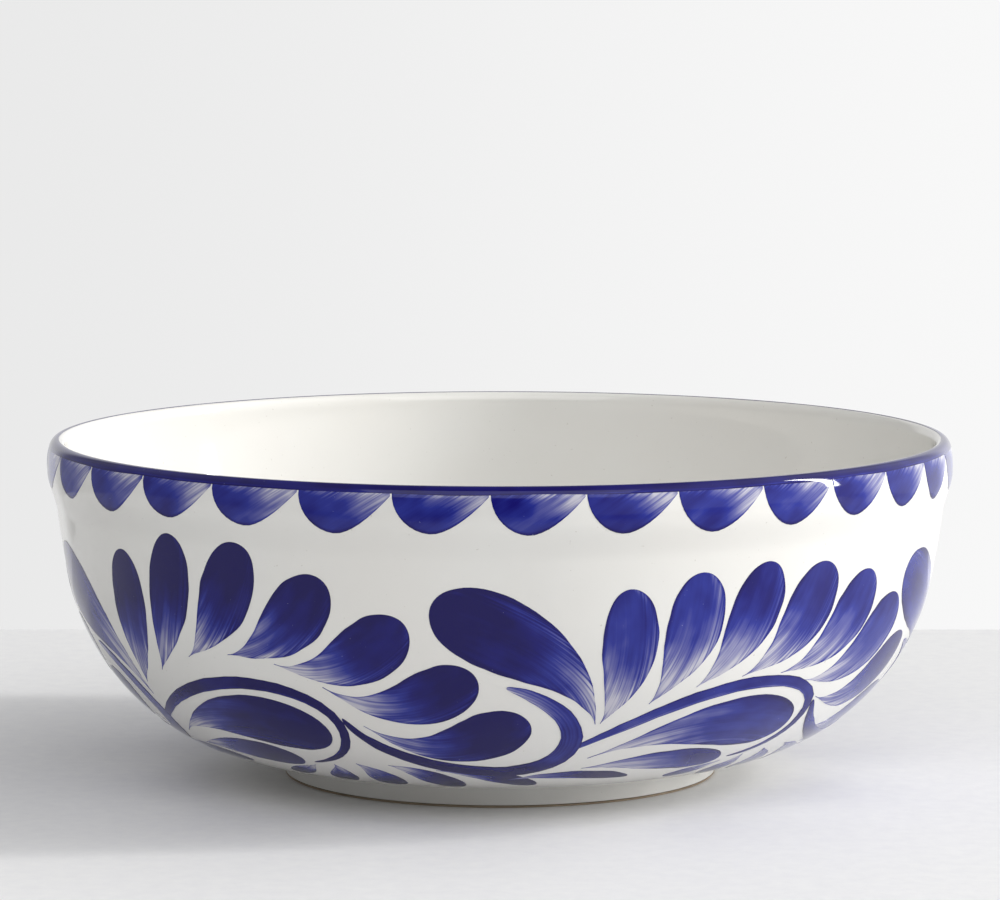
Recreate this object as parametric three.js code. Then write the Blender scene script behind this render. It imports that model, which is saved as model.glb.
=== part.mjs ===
// Round serving bowl: a thick fired-clay body with a raised collar round the rim and a low foot ring,
// under a clear glaze. Millimetres, +Z up, origin at the middle of the foot's resting face.
import * as THREE from "three";

// Driving dimensions.
const HEIGHT = 114.4;          // resting face to rim crest
const COLLAR_RADIUS = 152.5;   // the widest point, half of 305
const COLLAR_WIDEST = 104;     // height of that point
const COLLAR_BASE = 94;        // height of the joint where the collar is luted onto the wall
const COLLAR_TOE = 90.5;       // height where the collar's swell begins
const CREST_RADIUS = 149;
const MOUTH_RADIUS = 146.2;    // inner edge of the rim, just under the crest
const MOUTH_EDGE = 110.4;      // height of that edge
const WALL_RADIUS = 149.3;     // wall just under the collar's swell
const SHOULDER_RADIUS = 145.8; // wall where the belly's curve runs out
const SHOULDER = 68.5;         // height of that place
const WALL = 5.6;              // total thickness of the wall
const FOOT_RADIUS = 73;
const FOOT_HEIGHT = 7;
const FOOT_WIDTH = 6.2;        // clay width of the ring, outside to inside
const NECK_REACH = 3.4;        // from the ring's outer face to where the belly starts
const NECK_RISE = 1.1;         // height of the belly's start above the ring
const FLOOR_TOP = 12.5;        // inside floor at the middle
const FLOOR_RADIUS = 64;       // where the inside floor turns up into the belly
const BARE_EDGE = 0.9;         // unglazed strip above the resting face
const EDGE_ROUND = 0.5;        // eased corner of the resting face
const RECESS_ROUND = 2;        // fillet round the recess inside the foot ring
const GLAZE = 0.7;             // thickness of the glaze
const GAP = 0.3;               // clearance between neighbouring pieces
const SIDES = 60;              // facets round the bowl
const SAME_PLACE = 0.001;      // points nearer than this are one point

// The two points that each curve of the outline is pulled towards, as radius and height.
const NECK_PULLS = [[FOOT_RADIUS + 0.3, FOOT_HEIGHT + 0.8], [FOOT_RADIUS + 1.4, FOOT_HEIGHT + 1]];
const BELLY_PULLS = [[111, 8], [139.8, 36.8]];
const WALL_PULLS = [[147.2, 76], [148.4, 83]];
const SWELL_PULLS = [[149.6, 94.3], [COLLAR_RADIUS, 99.6]];
const RIM_PULLS = [[COLLAR_RADIUS, 110.6], [151.9, HEIGHT]];
const LIP_PULLS = [[147.2, HEIGHT], [MOUTH_RADIUS, 113]];
const INNER_WALL_PULLS = [[145.6, 98], [142.4, 82]];
const INNER_BELLY_PULLS = [[134.2, 40], [107, 13.6]];
const FLOOR_PULLS = [[42, 12.7], [20, FLOOR_TOP]];

const CLAY = { color: 0xe9e3d6, roughness: 0.85 };
const BARE_CLAY = { color: 0xa8937a, roughness: 0.9 };
const WHITE_GLAZE = { color: 0xf3f1eb, roughness: 0.12 };

const point = (r, z) => new THREE.Vector2(r, z);

// A stretch of outline from start to end, leaving towards the first pull and arriving from the second.
function bend(start, pulls, end, steps) {
  const [leaving, arriving] = pulls.map(([r, z]) => point(r, z));
  return new THREE.CubicBezierCurve(start, leaving, arriving, end).getPoints(steps);
}

// The glazed skin from the bare edge of the foot, up the outside, over the crest and down to the middle.
function skinOutline() {
  const footTop = point(FOOT_RADIUS + 0.2, FOOT_HEIGHT - 0.8);
  const bellyStart = point(FOOT_RADIUS + NECK_REACH, FOOT_HEIGHT + NECK_RISE);
  const shoulder = point(SHOULDER_RADIUS, SHOULDER);
  const collarToe = point(WALL_RADIUS, COLLAR_TOE);
  const widest = point(COLLAR_RADIUS, COLLAR_WIDEST);
  const crest = point(CREST_RADIUS, HEIGHT);
  const mouth = point(MOUTH_RADIUS, MOUTH_EDGE);
  const innerShoulder = point(SHOULDER_RADIUS - WALL, SHOULDER);
  const floorEdge = point(FLOOR_RADIUS, FLOOR_TOP + 0.5);
  const middle = point(0, FLOOR_TOP);
  const stretches = [
    [point(FOOT_RADIUS, BARE_EDGE)],
    bend(footTop, NECK_PULLS, bellyStart, 3),
    bend(bellyStart, BELLY_PULLS, shoulder, 8),
    bend(shoulder, WALL_PULLS, collarToe, 3),
    bend(collarToe, SWELL_PULLS, widest, 5),
    bend(widest, RIM_PULLS, crest, 4),
    bend(crest, LIP_PULLS, mouth, 3),
    bend(mouth, INNER_WALL_PULLS, innerShoulder, 3),
    bend(innerShoulder, INNER_BELLY_PULLS, floorEdge, 8),
    bend(floorEdge, FLOOR_PULLS, middle, 2),
  ];
  const outline = [];
  for (const stretch of stretches) {
    const last = outline.at(-1);
    const joins = last !== undefined && last.distanceTo(stretch[0]) < SAME_PLACE;
    outline.push(...(joins ? stretch.slice(1) : stretch));
  }
  return outline;
}

// The outline moved into the material by a distance, square to the outline at each point.
function sunk(outline, distance) {
  return outline.map((here, index) => {
    const before = outline[Math.max(index - 1, 0)];
    const after = outline[Math.min(index + 1, outline.length - 1)];
    const along = after.clone().sub(before).normalize();
    const onAxis = here.x === 0;
    const inward = onAxis ? point(0, -1) : point(-along.y, along.x);
    return here.clone().addScaledVector(inward, distance);
  });
}

// The part of a steadily rising or falling outline that lies between two heights.
function between(outline, low, high) {
  const kept = [];
  outline.forEach((here, index) => {
    if (here.y >= low && here.y <= high) kept.push(here);
    const next = outline[index + 1];
    if (next === undefined) return;
    for (const level of [low, high]) {
      const crosses = (here.y - level) * (next.y - level) < 0;
      if (crosses) kept.push(here.clone().lerp(next, (level - here.y) / (next.y - here.y)));
    }
  });
  return kept;
}

// One turned piece from a closed outline, or from one whose two ends lie on the axis.
function turned(name, outline, surface) {
  const onAxis = outline[0].x === 0;
  const profile = onAxis ? outline : [...outline, outline[0].clone()];
  const area = THREE.ShapeUtils.area(outline);
  const ordered = area > 0 ? profile : profile.slice().reverse();
  const geometry = new THREE.LatheGeometry(ordered, SIDES);
  geometry.rotateX(Math.PI / 2);
  const mesh = new THREE.Mesh(geometry, new THREE.MeshStandardMaterial({ ...surface, metalness: 0 }));
  mesh.name = name;
  return mesh;
}

const skin = skinOutline();
const glazeBack = sunk(skin, GLAZE);
const clay = sunk(skin, GLAZE + GAP);
const crestIndex = clay.reduce((best, here, index) => (here.y > clay[best].y ? index : best), 0);
const clayOutside = clay.slice(0, crestIndex + 1);
const clayInside = clay.slice(crestIndex);
const floorUnderside = FOOT_HEIGHT + GAP;
const ringOuter = FOOT_RADIUS - GLAZE - GAP;
const ringInner = ringOuter - FOOT_WIDTH;

// Wall and floor, thrown as one, with a flat underside for the foot ring and a flat top for the collar.
function bowlBody() {
  const outside = between(clayOutside, floorUnderside, COLLAR_BASE);
  const inside = between(clayInside, floorUnderside, COLLAR_BASE);
  return turned("bowl_body", [point(0, floorUnderside), ...outside, ...inside], CLAY);
}

// The raised band that stiffens the rim.
function rimCollar() {
  return turned("rim_collar", between(clay, COLLAR_BASE + GAP, HEIGHT), CLAY);
}

// The ring that the bowl stands on; its lowest strip is bare clay, flush with the glaze above it.
function footRing() {
  const recessSide = ringInner - GLAZE - GAP;
  const step = BARE_EDGE - GAP;
  const outline = [
    point(recessSide + EDGE_ROUND, 0),
    point(FOOT_RADIUS - EDGE_ROUND, 0),
    point(FOOT_RADIUS - EDGE_ROUND / 3, EDGE_ROUND / 3),
    point(FOOT_RADIUS, EDGE_ROUND),
    point(FOOT_RADIUS, step),
    point(ringOuter, step),
    point(ringOuter, FOOT_HEIGHT),
    point(ringInner, FOOT_HEIGHT),
    point(ringInner, step),
    point(recessSide, step),
    point(recessSide, EDGE_ROUND),
    point(recessSide + EDGE_ROUND / 3, EDGE_ROUND / 3),
  ];
  return turned("foot_ring", outline, BARE_CLAY);
}

// One continuous coat over the inside, the rim and the outside, down to the bare edge of the foot.
function glazeCoat() {
  return turned("glaze_coat", [...skin, ...glazeBack.slice().reverse()], WHITE_GLAZE);
}

// The separate coat in the recess inside the foot ring.
function baseGlaze() {
  const back = ringInner - GAP;
  const face = back - GLAZE;
  const top = floorUnderside - GAP;
  const under = top - GLAZE;
  const outline = [
    point(0, under),
    point(face - RECESS_ROUND, under),
    point(face - RECESS_ROUND * 0.3, under - RECESS_ROUND * 0.3),
    point(face, under - RECESS_ROUND),
    point(face, BARE_EDGE),
    point(back, BARE_EDGE),
    point(back, top),
    point(0, top),
  ];
  return turned("base_glaze", outline, WHITE_GLAZE);
}

const group = new THREE.Group();
group.add(bowlBody(), rimCollar(), footRing(), glazeCoat(), baseGlaze());

export default group;
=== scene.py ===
import math
import random
from bisect import bisect_right

import bmesh
import bpy
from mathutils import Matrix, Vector, noise


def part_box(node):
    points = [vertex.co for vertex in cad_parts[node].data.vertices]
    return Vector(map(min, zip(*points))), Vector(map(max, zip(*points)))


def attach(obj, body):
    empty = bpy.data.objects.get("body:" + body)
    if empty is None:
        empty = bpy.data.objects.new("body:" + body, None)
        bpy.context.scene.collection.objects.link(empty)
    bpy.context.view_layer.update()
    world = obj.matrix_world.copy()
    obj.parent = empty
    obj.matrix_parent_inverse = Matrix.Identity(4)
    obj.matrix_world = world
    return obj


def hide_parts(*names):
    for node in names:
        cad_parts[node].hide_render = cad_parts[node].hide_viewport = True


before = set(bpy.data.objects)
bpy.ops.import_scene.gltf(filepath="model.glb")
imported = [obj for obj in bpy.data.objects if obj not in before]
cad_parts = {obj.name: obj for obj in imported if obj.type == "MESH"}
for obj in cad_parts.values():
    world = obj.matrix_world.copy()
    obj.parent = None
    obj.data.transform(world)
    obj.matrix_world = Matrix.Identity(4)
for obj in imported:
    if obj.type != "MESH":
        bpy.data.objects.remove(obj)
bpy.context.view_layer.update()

# ---------------------------------------------------------------- sizes, in millimetres
MM = 0.001
coat_low, coat_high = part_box("glaze_coat")
ring_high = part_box("foot_ring")[1]
base_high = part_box("base_glaze")[1]

HEIGHT = coat_high.z / MM            # resting face to rim crest
COLLAR_RADIUS = coat_high.x / MM     # the widest point
BARE_EDGE = coat_low.z / MM          # unglazed strip above the resting face
FOOT_RADIUS = ring_high.x / MM
FOOT_HEIGHT = ring_high.z / MM
BASE_RADIUS = base_high.x / MM       # the glaze in the recess inside the foot ring
BASE_TOP = base_high.z / MM

# These repeat the CAD's outline.
COLLAR_WIDEST = 104                  # height of the widest point
COLLAR_TOE = 90.5                    # height where the collar's swell begins
CREST_RADIUS = 149
MOUTH_RADIUS = 146.2                 # inner edge of the rim, just under the crest
MOUTH_EDGE = 110.4                   # height of that edge
WALL_RADIUS = 149.3                  # wall just under the collar's swell
SHOULDER_RADIUS = 145.8              # wall where the belly's curve runs out
SHOULDER = 68.5                      # height of that place
WALL = 5.6                           # total thickness of the wall
FOOT_WIDTH = 6.2                     # clay width of the ring, outside to inside
FLOOR_TOP = 12.5                     # inside floor at the middle
FLOOR_RADIUS = 64                    # where the inside floor turns up into the belly
EDGE_ROUND = 0.5                     # eased corner of the resting face
GLAZE = 0.7                          # thickness of the glaze
GAP = 0.3                            # clearance between neighbouring pieces
FOOT_TOP = (FOOT_RADIUS + 0.2, FOOT_HEIGHT - 0.8)
BELLY_START = (FOOT_RADIUS + 3.4, FOOT_HEIGHT + 1.1)

# The two points that each curve of the outline is pulled towards, as (radius, height).
NECK_PULLS = ((73.3, 7.8), (74.4, 8))
BELLY_PULLS = ((111, 8), (139.8, 36.8))
WALL_PULLS = ((147.2, 76), (148.4, 83))
SWELL_PULLS = ((149.6, 94.3), (COLLAR_RADIUS, 99.6))
RIM_PULLS = ((COLLAR_RADIUS, 110.6), (151.9, HEIGHT))
LIP_PULLS = ((147.2, HEIGHT), (MOUTH_RADIUS, 113))
INNER_WALL_PULLS = ((145.6, 98), (142.4, 82))
INNER_BELLY_PULLS = ((134.2, 40), (107, 13.6))
FLOOR_PULLS = ((42, 12.7), (20, FLOOR_TOP))

RECESS_ROUND = 3                     # fillet round the recess inside the foot ring
ROUND_PULL = 0.6                     # how near the fillet's pulls come to its corner
SEGMENTS = 360                       # round the turned pieces
SAME_PLACE = 0.001                   # points nearer than this are one point
SHARP_EDGE = 50                      # edges steeper than this many degrees are drawn sharp

# The painting. Angles are degrees round the bowl from the front (-Y) towards +X; heights are
# millimetres measured up the skin from where the belly leaves the foot.
UNITS = 5                            # repeats of the border
UNIT_ANGLE = 360 / UNITS
FIRST_UNIT = 11.4
LEAVES = (8, 7, 8, 7, 7)             # leaves in the fan of each repeat
LOADS = (0.78, 0.95, 1.05, 0.98, 1.12)  # how full the brush was in each repeat
LEAF_WIDTH = 19
LEAF_GROWTH = 2                      # how much wider the last leaf of a fan is than the first
PETALS = 6
SCALLOPS = 32
FIRST_SCALLOP = -1.1
SCALLOP_DRIFT = 0.07                 # how much narrower the scallops at the right are than the average
SCALLOP_SHARE = 0.985                # of its room that a scallop fills
SCALLOP_TOP = 145
SCALLOP_DEPTH = 14
SCALLOP_LOAD = 0.72
SCALLOP_SLANT = 32                   # degrees by which the brush rises across a scallop
LOWEST = 0.42                        # share of a scallop's width at which it hangs lowest
LEFT_POWER = 0.42                    # a smaller power gives a scallop a steeper left side
RIGHT_POWER = 1.6                    # a larger power keeps its right side full for longer
RIGHT_LOSS = 0.86                    # share of its depth that is gone at the right end
RIM_LINE_LOW = 143.7
RIM_LINE_HIGH = 148.1
PAINT_SINK = 0.06                    # how far the underside of the paint lies in the glaze
SEED = 11

# How far each kind of paint stands off the skin, so that strokes that cross don't coincide.
UNDER_LIFT = 0.05
PETAL_LIFT = 0.05
LEAF_LIFT = 0.06
HEART_LIFT = 0.07
SCALLOP_LIFT = 0.07
COMMA_LIFT = 0.08
ARCH_LIFT = 0.10
RIM_LINE_LIFT = 0.11
SCROLL_LIFT = 0.14


# ---------------------------------------------------------------- outlines
def on_curve(start, pull1, pull2, end, t):
    """A place on the cubic curve that leaves start towards pull1 and reaches end from pull2."""
    weights = ((1 - t) ** 3, 3 * t * (1 - t) ** 2, 3 * t * t * (1 - t), t ** 3)
    places = (start, pull1, pull2, end)
    return tuple(sum(w * p[axis] for w, p in zip(weights, places)) for axis in (0, 1))


def bend(start, pulls, end, steps):
    """The same curve as a row of points."""
    return [on_curve(start, *pulls, end, step / steps) for step in range(steps + 1)]


def joined(stretches):
    """One outline from stretches that may share their end points."""
    outline = []
    for stretch in stretches:
        shares = outline and math.dist(outline[-1], stretch[0]) < SAME_PLACE
        outline.extend(stretch[1:] if shares else stretch)
    return outline


def outside_outline(fine):
    """The glazed skin from where the belly leaves the foot up to the mouth, as (radius, height)."""
    shoulder = (SHOULDER_RADIUS, SHOULDER)
    collar_toe = (WALL_RADIUS, COLLAR_TOE)
    widest = (COLLAR_RADIUS, COLLAR_WIDEST)
    crest = (CREST_RADIUS, HEIGHT)
    mouth = (MOUTH_RADIUS, MOUTH_EDGE)
    return joined([
        bend(BELLY_START, BELLY_PULLS, shoulder, 24 * fine),
        bend(shoulder, WALL_PULLS, collar_toe, 8 * fine),
        bend(collar_toe, SWELL_PULLS, widest, 10 * fine),
        bend(widest, RIM_PULLS, crest, 12 * fine),
        bend(crest, LIP_PULLS, mouth, 8 * fine),
    ])


def foot_outline():
    """The glazed outside of the foot, from its bare edge up to the belly."""
    return joined([
        [(FOOT_RADIUS, BARE_EDGE), (FOOT_RADIUS + 0.05, BARE_EDGE + 1.2)],
        bend(FOOT_TOP, NECK_PULLS, BELLY_START, 8),
    ])


def inside_outline():
    """The glazed inside, from the mouth down to the middle of the floor."""
    mouth = (MOUTH_RADIUS, MOUTH_EDGE)
    shoulder = (SHOULDER_RADIUS - WALL, SHOULDER)
    floor_edge = (FLOOR_RADIUS, FLOOR_TOP + 0.5)
    return joined([
        bend(mouth, INNER_WALL_PULLS, shoulder, 14),
        bend(shoulder, INNER_BELLY_PULLS, floor_edge, 36),
        bend(floor_edge, FLOOR_PULLS, (0, FLOOR_TOP), 12),
    ])


def facing(outline, index):
    """The direction square to the outline at one of its points, to the right of its run."""
    before = outline[max(index - 1, 0)]
    after = outline[min(index + 1, len(outline) - 1)]
    run = Vector((after[0] - before[0], after[1] - before[1])).normalized()
    return Vector((run.y, -run.x))


def sunk(outline, depth):
    """The outline moved into the material by a depth."""
    moved = []
    for index, (radius, height) in enumerate(outline):
        out = facing(outline, index) if radius > 0 else Vector((0, 1))
        moved.append((radius - out.x * depth, height - out.y * depth))
    return moved


class Skin:
    """The glazed outside, reached by the distance up from where the belly leaves the foot."""

    def __init__(self):
        self.line = outside_outline(6)
        self.out = [facing(self.line, index) for index in range(len(self.line))]
        self.run = [0.0]
        for here, after in zip(self.line, self.line[1:]):
            self.run.append(self.run[-1] + math.dist(here, after))

    def at(self, up):
        """Radius, height and outward direction."""
        place = min(max(bisect_right(self.run, up) - 1, 0), len(self.line) - 2)
        share = (up - self.run[place]) / (self.run[place + 1] - self.run[place])
        low, high = self.line[place], self.line[place + 1]
        radius = low[0] + (high[0] - low[0]) * share
        height = low[1] + (high[1] - low[1]) * share
        return radius, height, self.out[place].lerp(self.out[place + 1], share)

    def point(self, angle, up, lift):
        """The place in metres at an angle round the bowl, a distance up and a lift off the skin."""
        radius, height, out = self.at(up)
        turn = math.radians(angle)
        reach = radius + out.x * lift
        return Vector((reach * math.sin(turn), -reach * math.cos(turn), height + out.y * lift)) * MM

    def degree(self, up):
        """Millimetres of skin in one degree."""
        return self.at(up)[0] * math.pi / 180


skin = Skin()


# ---------------------------------------------------------------- meshes
def piece(name, points, faces, material):
    """A closed smooth mesh that rides on the bowl."""
    mesh = bpy.data.meshes.new(name)
    mesh.from_pydata(points, [], faces)
    shape = bmesh.new()
    shape.from_mesh(mesh)
    bmesh.ops.recalc_face_normals(shape, faces=shape.faces)
    shape.to_mesh(mesh)
    shape.free()
    mesh.shade_smooth()
    mesh.set_sharp_from_angle(angle=math.radians(SHARP_EDGE))
    mesh.materials.append(material)
    made = bpy.data.objects.new(name, mesh)
    bpy.context.collection.objects.link(made)
    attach(made, "root")
    return made


def turned(name, outline, material):
    """A piece turned round the bowl's axis from a closed outline of (radius, height)."""
    points = []
    rings = []
    for radius, height in outline:
        first = len(points)
        on_axis = radius < SAME_PLACE
        count = 1 if on_axis else SEGMENTS
        for step in range(count):
            turn = 2 * math.pi * step / SEGMENTS
            points.append(Vector((radius * math.sin(turn), -radius * math.cos(turn), height)) * MM)
        rings.append((first, count))
    faces = []
    for (low, low_count), (high, high_count) in zip(rings, rings[1:] + rings[:1]):
        if low_count == high_count == 1:
            continue
        for step in range(SEGMENTS):
            after = (step + 1) % SEGMENTS
            corners = [low + step % low_count, low + after % low_count]
            corners += [high + after % high_count, high + step % high_count]
            faces.append(list(dict.fromkeys(corners)))
    return piece(name, points, faces, material)


def painted(name, rows, lift, material):
    """One thin closed patch of paint from rows of spots, each spot with its place and its brush values."""
    columns = len(rows[0])
    spots = [spot for row in rows for spot in row]
    top = [skin.point(spot["angle"], spot["up"], lift) for spot in spots]
    under = [skin.point(spot["angle"], spot["up"], -PAINT_SINK) for spot in spots]
    below = len(spots)
    faces = []
    for row in range(len(rows) - 1):
        for column in range(columns - 1):
            near = row * columns + column
            corners = [near, near + 1, near + 1 + columns, near + columns]
            faces.append(corners)
            faces.append([below + corner for corner in reversed(corners)])
    last = (len(rows) - 1) * columns
    border = list(range(columns))
    border += [row * columns + columns - 1 for row in range(1, len(rows))]
    border += list(range(last + columns - 2, last - 1, -1))
    border += [row * columns for row in range(len(rows) - 2, 0, -1)]
    for here, after in zip(border, border[1:] + border[:1]):
        faces.append([after, here, below + here, below + after])
    made = piece(name, top + under, faces, material)
    for label in ("brush", "load"):
        layer = made.data.attributes.new(label, "FLOAT_VECTOR", "POINT")
        values = [number for spot in spots + spots for number in spot[label]]
        layer.data.foreach_set("vector", values)
    return made


# ---------------------------------------------------------------- brush strokes
# How a stroke swells from its tail to its widest place (peak) and closes again at its head. A soaked
# brush is already partly full at the tail.
LEAF = {"peak": 0.64, "rise": 1.3, "fall": 2.3}
TEAR = {"peak": 0.74, "rise": 1.9, "fall": 2.3}
COMMA = {"peak": 0.70, "rise": 1.4, "fall": 2.3}
ARCH = {"peak": 0.4, "rise": 0.45, "fall": 1.6, "soaked": 0.5}
SCROLL = {"peak": 0.4, "rise": 0.45, "fall": 1.6, "soaked": 0.3}

# Where the strokes of one repeat lie, as (angle, up) from the repeat's start. For a fan and for the
# petals one curve holds the tails and another the heads; a fan is chosen by its number of leaves.
FANS = {
    7: ([(2.4, 70), (14, 86), (34, 102), (41.6, 62.5)], [(5.6, 118), (26, 145), (53, 102), (63.6, 69)]),
    8: ([(2.4, 64.5), (16, 84), (36, 90), (41.6, 54)], [(4.2, 113), (26, 124), (53, 124), (62.8, 63)]),
}
PETAL_TAILS = [(28.4, 36.5), (36, 38.5), (39, 48), (62, 31)]
PETAL_HEADS = [(19.6, 25.5), (36, 16), (54, 16), (83.2, 30)]
ARCH_PLACES = [
    (-2.4, 50), (6, 63), (15, 76.6), (25, 77.2), (33.5, 77.6), (38.2, 69), (38, 59),
    (37.8, 49), (34.5, 42), (28.8, 39),
]
SCROLL_PLACES = [
    (61.6, 80.5), (67.5, 75.5), (70.4, 67), (70.7, 58), (71, 49), (67.5, 38.8), (60, 38.6),
    (50, 38.8), (41, 52), (38.6, 66),
]
COMMA_PLACES = [(73.6, 64.5), (72, 83), (65.5, 95), (52.0, 107.5)]
HEART_PLACES = [(2, 46.5), (10, 58), (22, 66.5), (35.6, 54)]
UNDER_PLACES = [(1.8, 39), (9, 42.5), (19, 43), (27, 38.5)]
ARCH_WIDTH = 4.8
SCROLL_WIDTH = 7.4
COMMA_WIDTH = 25
HEART_WIDTH = 24
UNDER_WIDTH = 14
PETAL_WIDTH = 7
PETAL_SWELL = 4.5                    # how much wider the middle petals are than the outer ones

ROWS = 44                            # along a stroke
COLUMNS = 11                         # across a stroke
SPINE_STEPS = 240                    # in the line that measures a stroke's length
THINNEST = 0.12                      # half the width that a stroke keeps at its very ends
WOBBLE = 0.35                        # how far a stroke's edge strays
WOBBLE_RUN = 6                       # length of one stray


def fullness(t, form):
    """The stroke's width at a share of its length, from its thin tail at 0 to its round head at 1."""
    if t < form["peak"]:
        return math.sin(math.pi / 2 * t / form["peak"]) ** form["rise"]
    past = (t - form["peak"]) / (1 - form["peak"])
    return math.sqrt(max(1 - past ** form["fall"], 0))


def along_curve(places, t):
    """A place on one or more cubic curves joined end to end, at a share of the whole."""
    curves = (len(places) - 1) // 3
    number = min(int(t * curves), curves - 1)
    return on_curve(*places[3 * number:3 * number + 4], t * curves - number)


def stroke(name, places, width, form, lift, material, draw, wet):
    """A brush stroke along a curve of (angle, up) places, from tail to head."""
    seed = draw.uniform(0, 90)
    soaked = form.get("soaked", 0)
    spine = [along_curve(places, step / SPINE_STEPS) for step in range(SPINE_STEPS + 1)]
    lengths = [0.0]
    for here, after in zip(spine, spine[1:]):
        across = (after[0] - here[0]) * skin.degree(here[1])
        lengths.append(lengths[-1] + math.hypot(across, after[1] - here[1]))
    total = lengths[-1]
    rows = []
    for step in range(ROWS):
        t = (1 - math.cos(math.pi * step / (ROWS - 1))) / 2
        index = min(bisect_right(lengths, t * total), len(spine) - 1)
        here, before = spine[index], spine[index - 1]
        share = (t * total - lengths[index - 1]) / (lengths[index] - lengths[index - 1])
        angle = before[0] + (here[0] - before[0]) * share
        up = before[1] + (here[1] - before[1]) * share
        degree = skin.degree(up)
        run = Vector(((here[0] - before[0]) * degree, here[1] - before[1])).normalized()
        side = Vector((-run.y, run.x))
        half = max(width / 2 * fullness(t, form), THINNEST)
        row = []
        for column in range(COLUMNS):
            across = 2 * column / (COLUMNS - 1) - 1
            stray = Vector((seed + math.copysign(7, across), t * total / WOBBLE_RUN, 0))
            wobble = WOBBLE * noise.noise(stray)
            reach = across * (half + abs(across) * wobble * min(half, 1))
            row.append({
                "angle": angle + side.x * reach / degree,
                "up": up + side.y * reach,
                "brush": (t * total, reach, seed),
                "load": (soaked + (1 - soaked) * t, across, wet),
            })
        rows.append(row)
    return painted(name, rows, lift, material)


def leaf_places(tail, head, bow):
    """A curve from tail to head that bows to the right of its run by some millimetres."""
    degree = skin.degree((tail[1] + head[1]) / 2)
    run = Vector(((head[0] - tail[0]) * degree, head[1] - tail[1]))
    side = Vector((run.y, -run.x)).normalized() * bow
    pull1 = (tail[0] + (run.x * 0.33 + side.x * 1.5) / degree, tail[1] + run.y * 0.33 + side.y * 1.5)
    pull2 = (tail[0] + (run.x * 0.72 + side.x) / degree, tail[1] + run.y * 0.72 + side.y)
    return [tail, pull1, pull2, head]


def shifted(places, by):
    """The places moved round the bowl by some degrees."""
    return [(angle + by, up) for angle, up in places]


def unit(number, start, leaves, load, material):
    """One repeat of the border: an arch with a fan of leaves over it, a scroll, and petals below."""
    draw = random.Random(SEED + number)

    def loose(place):
        return (place[0] + draw.uniform(-0.2, 0.2), place[1] + draw.uniform(-0.5, 0.5))

    def brush(label, places, width, form, lift, wet=load):
        stroke(f"paint_{label}", shifted(places, start), width, form, lift, material, draw, wet)

    tails, heads = FANS[leaves]
    for leaf in range(leaves):
        t = leaf / (leaves - 1)
        tail = loose(along_curve(tails, t))
        head = loose(along_curve(heads, t))
        bow = 4 + 9 * t * t
        width = (LEAF_WIDTH + LEAF_GROWTH * t) * draw.uniform(0.96, 1.03)
        form = {key: LEAF[key] + (TEAR[key] - LEAF[key]) * t for key in LEAF}
        wet = load * draw.uniform(0.85, 1.15)
        brush(f"leaf_{number}_{leaf + 1}", leaf_places(tail, head, bow), width, form, LEAF_LIFT, wet)

    for label, places, width, form, lift in (
        ("arch", ARCH_PLACES, ARCH_WIDTH, ARCH, ARCH_LIFT),
        ("scroll", SCROLL_PLACES, SCROLL_WIDTH, SCROLL, SCROLL_LIFT),
        ("comma", COMMA_PLACES, COMMA_WIDTH, COMMA, COMMA_LIFT),
        ("heart", HEART_PLACES, HEART_WIDTH, TEAR, HEART_LIFT),
        ("under", UNDER_PLACES, UNDER_WIDTH, COMMA, UNDER_LIFT),
    ):
        brush(f"{label}_{number}", [loose(place) for place in places], width, form, lift)

    for petal in range(PETALS):
        t = petal / (PETALS - 1)
        tail = loose(along_curve(PETAL_TAILS, t))
        head = loose(along_curve(PETAL_HEADS, t))
        bow = -1 - 3 * t
        width = PETAL_WIDTH + PETAL_SWELL * math.sin(math.pi * t)
        brush(f"petal_{number}_{petal + 1}", leaf_places(tail, head, bow), width, LEAF, PETAL_LIFT)


def scallop_depth(share):
    """How far a scallop hangs at a share of its width: a steep left side and a slanting right side."""
    if share < LOWEST:
        return math.sin(math.pi / 2 * share / LOWEST) ** LEFT_POWER
    past = (share - LOWEST) / (1 - LOWEST)
    return 1 - RIGHT_LOSS * past ** RIGHT_POWER


def scallop(number, left, width, depth, material, draw):
    """One hanging lobe under the rim line, brushed from its lower left to its upper right."""
    seed = draw.uniform(0, 90)
    slant = math.radians(SCALLOP_SLANT)
    columns = 22
    layers = 14
    shallowest = 0.25
    rows = []
    for column in range(columns):
        share = (1 - math.cos(math.pi * column / (columns - 1))) / 2
        row = []
        for layer in range(layers):
            drop = max(depth * scallop_depth(share), shallowest) * layer / (layers - 1)
            degree = skin.degree(SCALLOP_TOP - drop)
            right = share * width * degree
            draw_run = right * math.cos(slant) - drop * math.sin(slant)
            side = right * math.sin(slant) + drop * math.cos(slant)
            longest = width * degree * math.cos(slant)
            row.append({
                "angle": left + share * width,
                "up": SCALLOP_TOP - drop,
                "brush": (longest - draw_run, side, seed),
                "load": (1 - draw_run / longest, 2 * layer / (layers - 1) - 1, SCALLOP_LOAD),
            })
        rows.append(row)
    return painted(f"paint_scallop_{number}", rows, SCALLOP_LIFT, material)


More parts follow.
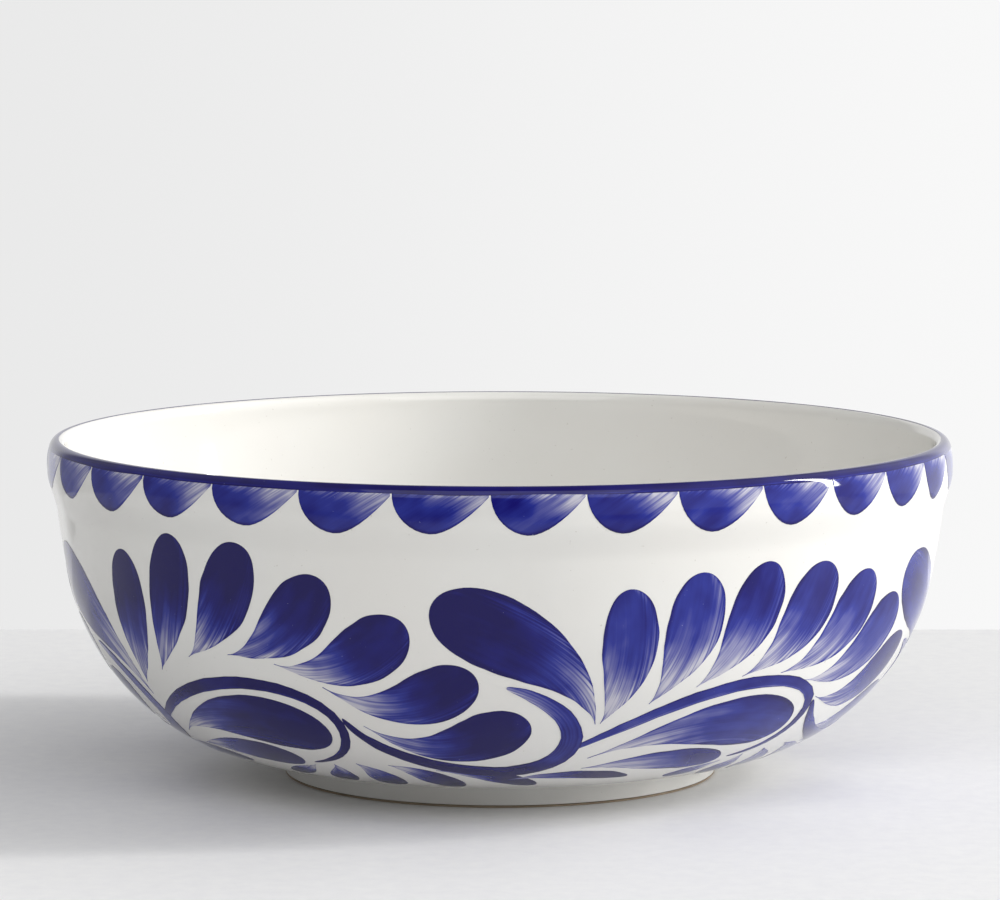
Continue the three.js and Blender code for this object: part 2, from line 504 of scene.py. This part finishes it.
def rim_line(material):
    """The solid band that closes the border, from above the scallops to just over the crest."""
    columns = 10
    low_sway = 0.35
    high_sway = 0.2
    rows = []
    for step in range(SEGMENTS + 1):
        angle = 360 * step / SEGMENTS
        turn = math.radians(angle)
        ring = Vector((math.cos(turn), math.sin(turn), 0)) * 6
        low = RIM_LINE_LOW + low_sway * noise.noise(ring)
        high = RIM_LINE_HIGH + high_sway * noise.noise(ring + Vector((0, 0, 9)))
        row = []
        for column in range(columns):
            share = column / (columns - 1)
            row.append({
                "angle": angle,
                "up": low + (high - low) * share,
                "brush": (angle * skin.degree(low), share * 3, 40),
                "load": (0.8, 2 * share - 1, 1),
            })
        rows.append(row)
    return painted("paint_rim_line", rows, RIM_LINE_LIFT, material)


# ---------------------------------------------------------------- materials
class Graph:
    """A short way to write a material's nodes."""

    def __init__(self, name):
        self.material = bpy.data.materials.new(name)
        self.material.use_nodes = True
        self.tree = self.material.node_tree
        self.shader = self.tree.nodes["Principled BSDF"]

    def node(self, kind, **settings):
        made = self.tree.nodes.new(kind)
        for key, value in settings.items():
            setattr(made, key, value)
        return made

    def put(self, value, socket):
        if isinstance(value, bpy.types.NodeSocket):
            self.tree.links.new(value, socket)
        else:
            socket.default_value = value

    def math(self, operation, first, second=0.0, clamp=False):
        made = self.node("ShaderNodeMath", operation=operation, use_clamp=clamp)
        self.put(first, made.inputs[0])
        self.put(second, made.inputs[1])
        return made.outputs[0]

    def attribute(self, name):
        return self.node("ShaderNodeAttribute", attribute_name=name).outputs["Vector"]

    def split(self, vector):
        made = self.node("ShaderNodeSeparateXYZ")
        self.put(vector, made.inputs[0])
        return made.outputs

    def scaled(self, vector, scale):
        made = self.node("ShaderNodeVectorMath", operation="MULTIPLY")
        self.put(vector, made.inputs[0])
        self.put(scale, made.inputs[1])
        return made.outputs[0]

    def noise(self, vector, scale, detail=2.0, roughness=0.5, distortion=0.0):
        made = self.node("ShaderNodeTexNoise")
        self.put(vector, made.inputs["Vector"])
        self.put(scale, made.inputs["Scale"])
        self.put(detail, made.inputs["Detail"])
        self.put(roughness, made.inputs["Roughness"])
        self.put(distortion, made.inputs["Distortion"])
        return made.outputs["Fac"]

    def stretch(self, value, low, high, to_low=0.0, to_high=1.0, smooth=False):
        made = self.node("ShaderNodeMapRange")
        made.interpolation_type = "SMOOTHSTEP" if smooth else "LINEAR"
        for socket, number in zip(made.inputs, (value, low, high, to_low, to_high)):
            self.put(number, socket)
        return made.outputs[0]

    def ramp(self, value, stops):
        made = self.node("ShaderNodeValToRGB")
        self.put(value, made.inputs[0])
        elements = made.color_ramp.elements
        while len(elements) < len(stops):
            elements.new(0.5)
        for element, (place, color) in zip(elements, stops):
            element.position = place
            element.color = (*color, 1)
        return made.outputs[0]

    def mix(self, share, first, second):
        made = self.node("ShaderNodeMix", data_type="RGBA")
        self.put(share, made.inputs["Factor"])
        self.put(first, made.inputs["A"])
        self.put(second, made.inputs["B"])
        return made.outputs["Result"]

    def bump(self, height, strength, distance, before=None):
        made = self.node("ShaderNodeBump")
        self.put(height, made.inputs["Height"])
        made.inputs["Strength"].default_value = strength
        made.inputs["Distance"].default_value = distance
        if before is not None:
            self.put(before, made.inputs["Normal"])
        return made.outputs[0]

    def place(self):
        return self.node("ShaderNodeTexCoord").outputs["Object"]

    def set(self, **values):
        for key, value in values.items():
            self.put(value, self.shader.inputs[key.replace("_", " ")])


GLAZE_WARM = (0.73, 0.717, 0.684, 1)
GLAZE_COOL = (0.75, 0.745, 0.717, 1)
PINHOLE = (0.36, 0.33, 0.28, 1)
GLAZE_GLOSS = 0.035                  # the glaze's lowest roughness
GLAZE_IOR = 1.5
COBALT_GLOSS = 0.055
COBALT_IOR = 1.34
COBALT_SPECK = (0.45, 0.48, 0.66, 1)

# The cobalt's color by how much paint lies there, from nearly none to a full brush.
COBALT_STOPS = [
    (0.00, (0.50, 0.49, 0.56)),
    (0.16, (0.30, 0.30, 0.45)),
    (0.36, (0.11, 0.115, 0.33)),
    (0.56, (0.022, 0.030, 0.25)),
    (0.78, (0.009, 0.008, 0.145)),
    (1.00, (0.006, 0.003, 0.085)),
]

# Noise scales along the brush, across it and from stroke to stroke: long thin streaks and soft clouds.
STREAK_SCALE = (0.016, 0.42, 1)
HAIR_SCALE = (0.025, 1.9, 1.7)
CLOUD_SCALE = (0.06, 0.12, 2.3)

BODY_CLAY = ((0.81, 0.77, 0.68), (0.74, 0.69, 0.60))
BODY_GRAIN = 900
# Partly painted shade: the bare strip's own clay colour, taken darker so that it also stands in for the
# contact shadow along the resting edge.
BARE_CLAY_AND_CONTACT_SHADE = ((0.42, 0.33, 0.24), (0.32, 0.245, 0.17))
FOOT_GRAIN = 1300


def glaze_material(name):
    """White gloss glaze: drifting warm and cool whites, sparse pinholes, a faint waviness."""
    graph = Graph(name)
    place = graph.place()
    drift = graph.stretch(graph.noise(place, 14, 3), 0.35, 0.65)
    color = graph.mix(drift, GLAZE_WARM, GLAZE_COOL)
    speck = graph.stretch(graph.noise(place, 900, 1), 0.765, 0.79)
    color = graph.mix(graph.math("MULTIPLY", speck, 0.35), color, PINHOLE)
    waves = graph.bump(graph.noise(place, 38, 1), 0.35, 0.0006)
    peel = graph.bump(graph.noise(place, 420, 2), 0.10, 0.00008, waves)
    roughness = graph.stretch(graph.noise(place, 60, 2), 0.3, 0.7, GLAZE_GLOSS, GLAZE_GLOSS + 0.04)
    graph.set(Base_Color=color, Roughness=roughness, Normal=peel)
    graph.shader.inputs["IOR"].default_value = GLAZE_IOR
    return graph.material


def cobalt_material(name):
    """Cobalt brushwork under the glaze: deep where the brush was full, streaked where it ran dry."""
    graph = Graph(name)
    brush = graph.attribute("brush")
    load = graph.split(graph.attribute("load"))
    along, across, wet = load[0], load[1], load[2]
    streaks = graph.noise(graph.scaled(brush, STREAK_SCALE), 1, 2, 0.5, 0.1)
    hairs = graph.noise(graph.scaled(brush, HAIR_SCALE), 1, 2, 0.5)
    clouds = graph.noise(graph.scaled(brush, CLOUD_SCALE), 1, 2)
    full = graph.stretch(along, 0.02, 0.85, 0.13, 0.95, smooth=True)
    full = graph.math("MULTIPLY", full, wet)
    dry = graph.stretch(along, 0.15, 0.72, 1.0, 0.12, smooth=True)
    streak_cut = graph.math("MULTIPLY", graph.stretch(streaks, 0.34, 0.66, -0.17, 0.17), dry)
    hair_cut = graph.math("MULTIPLY", graph.stretch(hairs, 0.36, 0.64, -0.12, 0.10), dry)
    cloud_cut = graph.stretch(clouds, 0.3, 0.7, -0.15, 0.13)
    side = graph.stretch(across, -0.95, -0.35, 1.0, 0.0, smooth=True)
    pale_line = graph.math("MULTIPLY", side, graph.stretch(hairs, 0.40, 0.60, -0.30, -0.04))
    edge = graph.stretch(graph.math("ABSOLUTE", across), 0.80, 1.0, 0.0, 0.28, smooth=True)
    tip = graph.stretch(along, 0.0, 0.14, 0.3, 0.0, smooth=True)
    total = graph.math("ADD", full, streak_cut)
    for part in (hair_cut, cloud_cut, pale_line, tip):
        total = graph.math("ADD", total, part)
    total = graph.math("ADD", total, edge, clamp=True)
    color = graph.ramp(total, COBALT_STOPS)
    speck = graph.stretch(graph.noise(brush, 1.6, 1), 0.80, 0.84)
    color = graph.mix(graph.math("MULTIPLY", speck, 0.5), color, COBALT_SPECK)
    graph.set(Base_Color=color)
    graph.shader.inputs["Roughness"].default_value = COBALT_GLOSS
    graph.shader.inputs["IOR"].default_value = COBALT_IOR
    return graph.material


def clay_material(name, shades, grain):
    """Fired clay: gritty, matte and slightly mottled between a light and a dark shade."""
    light, dark = shades
    pit = (*[part * 0.6 for part in dark], 1)
    graph = Graph(name)
    place = graph.place()
    mottle = graph.stretch(graph.noise(place, 70, 4), 0.3, 0.7)
    grit = graph.noise(place, grain, 3, 0.7)
    color = graph.mix(mottle, (*dark, 1), (*light, 1))
    color = graph.mix(graph.stretch(grit, 0.62, 0.75, 0, 0.5), color, pit)
    roughness = graph.stretch(grit, 0.3, 0.7, 0.72, 0.92)
    graph.set(Base_Color=color, Roughness=roughness, Normal=graph.bump(grit, 0.5, 0.0002))
    return graph.material


# ---------------------------------------------------------------- the bowl
def build_glaze(material):
    """The one coat over the inside, the rim and the outside; its unseen back has fewer points."""
    outline = joined([foot_outline(), outside_outline(1), inside_outline()])
    back = sunk(outline, GLAZE)
    coarse = back[:1] + back[3:-1:3] + back[-1:]
    coat = turned("glaze_coat_fine", outline + coarse[::-1], material)
    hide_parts("glaze_coat")


def build_base_glaze(material):
    """The coat in the recess, with a round corner and a thin lip at the bare edge."""
    side = BASE_RADIUS - GLAZE
    under = BASE_TOP - GLAZE
    pulls = ((side - ROUND_PULL, under), (side, under - ROUND_PULL))
    corner = bend((side - RECESS_ROUND, under), pulls, (side, under - RECESS_ROUND), 8)
    outline = [
        (0, under), *corner, (side, BARE_EDGE + 0.3), (side + 0.2, BARE_EDGE),
        (BASE_RADIUS, BARE_EDGE), (BASE_RADIUS, BASE_TOP), (0, BASE_TOP),
    ]
    coat = turned("base_glaze_fine", outline, material)
    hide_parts("base_glaze")


def build_foot(material):
    """The clay ring, bare and flush with the glaze in its lowest strip, with eased lower corners."""
    outer = FOOT_RADIUS - GLAZE - GAP
    inner = outer - FOOT_WIDTH
    bare_inner = inner - GLAZE - GAP
    step = BARE_EDGE - GAP
    pull = EDGE_ROUND * 0.45
    inner_pulls = ((bare_inner, pull), (bare_inner + pull, 0))
    outer_pulls = ((FOOT_RADIUS - pull, 0), (FOOT_RADIUS, pull))
    outline = [
        *bend((bare_inner, EDGE_ROUND), inner_pulls, (bare_inner + EDGE_ROUND, 0), 6),
        *bend((FOOT_RADIUS - EDGE_ROUND, 0), outer_pulls, (FOOT_RADIUS, EDGE_ROUND), 6),
        (FOOT_RADIUS, step), (outer, step), (outer, FOOT_HEIGHT),
        (inner, FOOT_HEIGHT), (inner, step), (bare_inner, step),
    ]
    ring = turned("foot_ring_fine", outline, material)
    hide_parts("foot_ring")


def paint_bowl(material):
    """The whole border: the repeats, the row of scallops and the rim line."""
    for number in range(UNITS):
        unit(number + 1, FIRST_UNIT + number * UNIT_ANGLE, LEAVES[number], LOADS[number], material)
    draw = random.Random(SEED)
    left = FIRST_SCALLOP
    widths = []
    for number in range(SCALLOPS):
        turn = 2 * math.pi * number / SCALLOPS
        widths.append(draw.uniform(0.96, 1.06) - SCALLOP_DRIFT * math.sin(turn))
    for number, width in enumerate(widths):
        angle = 360 * width / sum(widths)
        depth = SCALLOP_DEPTH * draw.uniform(0.95, 1.05)
        scallop(number + 1, left, angle * SCALLOP_SHARE, depth, material, draw)
        left += angle
    rim_line(material)


# ---------------------------------------------------------------- stage, light and camera
# In metres. The table ends just behind the bowl, so that the bright wall shows above its edge.
TABLE_BACK = 0.326
TABLE_FRONT = -1.2
TABLE_SIDE = 1.5
TABLE_THICK = 0.03
TABLE_ROUND = 0.004
TABLE_LIGHT = (0.81, 0.81, 0.81, 1)
TABLE_DARK = (0.77, 0.77, 0.78, 1)
# Painted shade: the table's colour darkens away from the bowl, standing in for the light falling off
# there.
TABLE_PAINTED_SHADE = (0.22, 0.22, 0.22, 1)    # away from the bowl, where only reflections see it

# How bright the room is behind, elsewhere, to the left, to the right and overhead.
WALL_GLOW = 0.88
DARK_GLOW = 0.03
LEFT_GLOW = 0.42
RIGHT_GLOW = 1.18
TOP_GLOW = 0.22

# The lamps: a tall panel at the right that gives the long highlights, and a soft one from the front.
AIM = (0, 0, 0.06)
KEY_PLACE = (5.0, 0, 2.0)
KEY_SIZE = (0.42, 3.2)
KEY_POWER = 215
KEY_COLOR = (1.0, 0.99, 0.97)
SOFTBOX_PLACE = (0, -2.3, 1.9)
SOFTBOX_SIZE = (3.2, 2.0)
SOFTBOX_POWER = 35
SOFTBOX_COLOR = (1.0, 1.0, 1.0)

CAMERA_PLACE = (0, -1.6163, 0.2881)
CAMERA_DIP = 6.316                   # degrees by which it looks down
LENS = 173.14
SENSOR = 36


def build_table():
    """A pale grained table top with eased edges, with painted shade where it is far from the bowl."""
    graph = Graph("table_top")
    place = graph.place()
    grain = graph.noise(place, 160, 3, 0.6)
    near = graph.mix(graph.stretch(grain, 0.3, 0.7), TABLE_DARK, TABLE_LIGHT)
    # Painted shade: darker ahead of the bowl and out to its right, where the light falls off.
    ahead = graph.stretch(graph.split(place)[1], -0.9, -0.35, 1.0, 0.0, smooth=True)
    aside = graph.stretch(graph.split(place)[0], 0.8, 1.4, 0.0, 1.0, smooth=True)
    painted_falloff = graph.math("MAXIMUM", ahead, aside)
    color = graph.mix(painted_falloff, near, TABLE_PAINTED_SHADE)
    graph.set(Base_Color=color, Normal=graph.bump(grain, 0.25, 0.0004))
    graph.shader.inputs["Roughness"].default_value = 0.6
    mesh = bpy.data.meshes.new("table_top")
    shape = bmesh.new()
    bmesh.ops.create_cube(shape, size=1)
    for vert in shape.verts:
        vert.co.x *= 2 * TABLE_SIDE
        vert.co.y = (TABLE_FRONT + TABLE_BACK) / 2 + vert.co.y * (TABLE_BACK - TABLE_FRONT)
        vert.co.z = (vert.co.z - 0.5) * TABLE_THICK
    bmesh.ops.bevel(shape, geom=shape.edges[:], offset=TABLE_ROUND, segments=4, affect="EDGES")
    shape.to_mesh(mesh)
    shape.free()
    mesh.materials.append(graph.material)
    table = bpy.data.objects.new("table_top", mesh)
    bpy.context.collection.objects.link(table)


def build_room():
    """The room as a glow by direction: lit behind, brighter to the right, dimmer to the left."""
    world = bpy.data.worlds.new("room")
    bpy.context.scene.world = world
    world.use_nodes = True
    tree = world.node_tree
    direction = tree.nodes.new("ShaderNodeTexCoord").outputs["Generated"]
    split = tree.nodes.new("ShaderNodeSeparateXYZ")
    tree.links.new(direction, split.inputs[0])
    across, ahead, above = split.outputs

    def spread(value, low, high, to_low, to_high):
        made = tree.nodes.new("ShaderNodeMapRange")
        made.interpolation_type = "SMOOTHSTEP"
        for socket, number in zip(made.inputs[1:5], (low, high, to_low, to_high)):
            socket.default_value = number
        tree.links.new(value, made.inputs[0])
        return made.outputs[0]

    def combine(operation, first, second):
        made = tree.nodes.new("ShaderNodeMath")
        made.operation = operation
        tree.links.new(first, made.inputs[0])
        tree.links.new(second, made.inputs[1])
        return made.outputs[0]

    wall = spread(ahead, 0.80, 0.92, DARK_GLOW, WALL_GLOW)
    slope = spread(across, -0.13, 0.13, 0.93, 1.07)
    total = combine("MULTIPLY", wall, slope)
    total = combine("ADD", total, spread(across, -0.7, -0.1, LEFT_GLOW, 0))
    total = combine("ADD", total, spread(across, 0.1, 0.7, 0, RIGHT_GLOW))
    total = combine("ADD", total, spread(above, 0.3, 0.8, 0, TOP_GLOW))
    tree.links.new(total, tree.nodes["Background"].inputs["Color"])


def area_light(name, place, size, power, color):
    light = bpy.data.lights.new(name, "AREA")
    light.shape = "RECTANGLE"
    light.size, light.size_y = size
    light.energy = power
    light.color = color
    lamp = bpy.data.objects.new(name, light)
    lamp.location = place
    lamp.rotation_euler = (Vector(AIM) - Vector(place)).to_track_quat("-Z", "Y").to_euler()
    bpy.context.collection.objects.link(lamp)


def build_camera():
    camera = bpy.data.cameras.new("camera")
    camera.sensor_width = SENSOR
    camera.lens = LENS
    lookout = bpy.data.objects.new("camera", camera)
    lookout.location = CAMERA_PLACE
    lookout.rotation_euler = (math.radians(90 - CAMERA_DIP), 0, 0)
    bpy.context.collection.objects.link(lookout)
    bpy.context.scene.camera = lookout


def main():
    build_camera()
    build_room()
    build_table()
    area_light("key", KEY_PLACE, KEY_SIZE, KEY_POWER, KEY_COLOR)
    area_light("softbox", SOFTBOX_PLACE, SOFTBOX_SIZE, SOFTBOX_POWER, SOFTBOX_COLOR)
    bpy.context.scene.view_settings.view_transform = "Standard"

    white = glaze_material("glaze_white")
    blue = cobalt_material("cobalt")
    body_clay = clay_material("clay_body", BODY_CLAY, BODY_GRAIN)
    foot_clay_and_contact_shade = clay_material("bare_clay", BARE_CLAY_AND_CONTACT_SHADE, FOOT_GRAIN)
    for node in ("bowl_body", "rim_collar"):
        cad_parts[node].data.materials[0] = body_clay
    build_glaze(white)
    build_base_glaze(white)
    build_foot(foot_clay_and_contact_shade)
    paint_bowl(blue)


main()
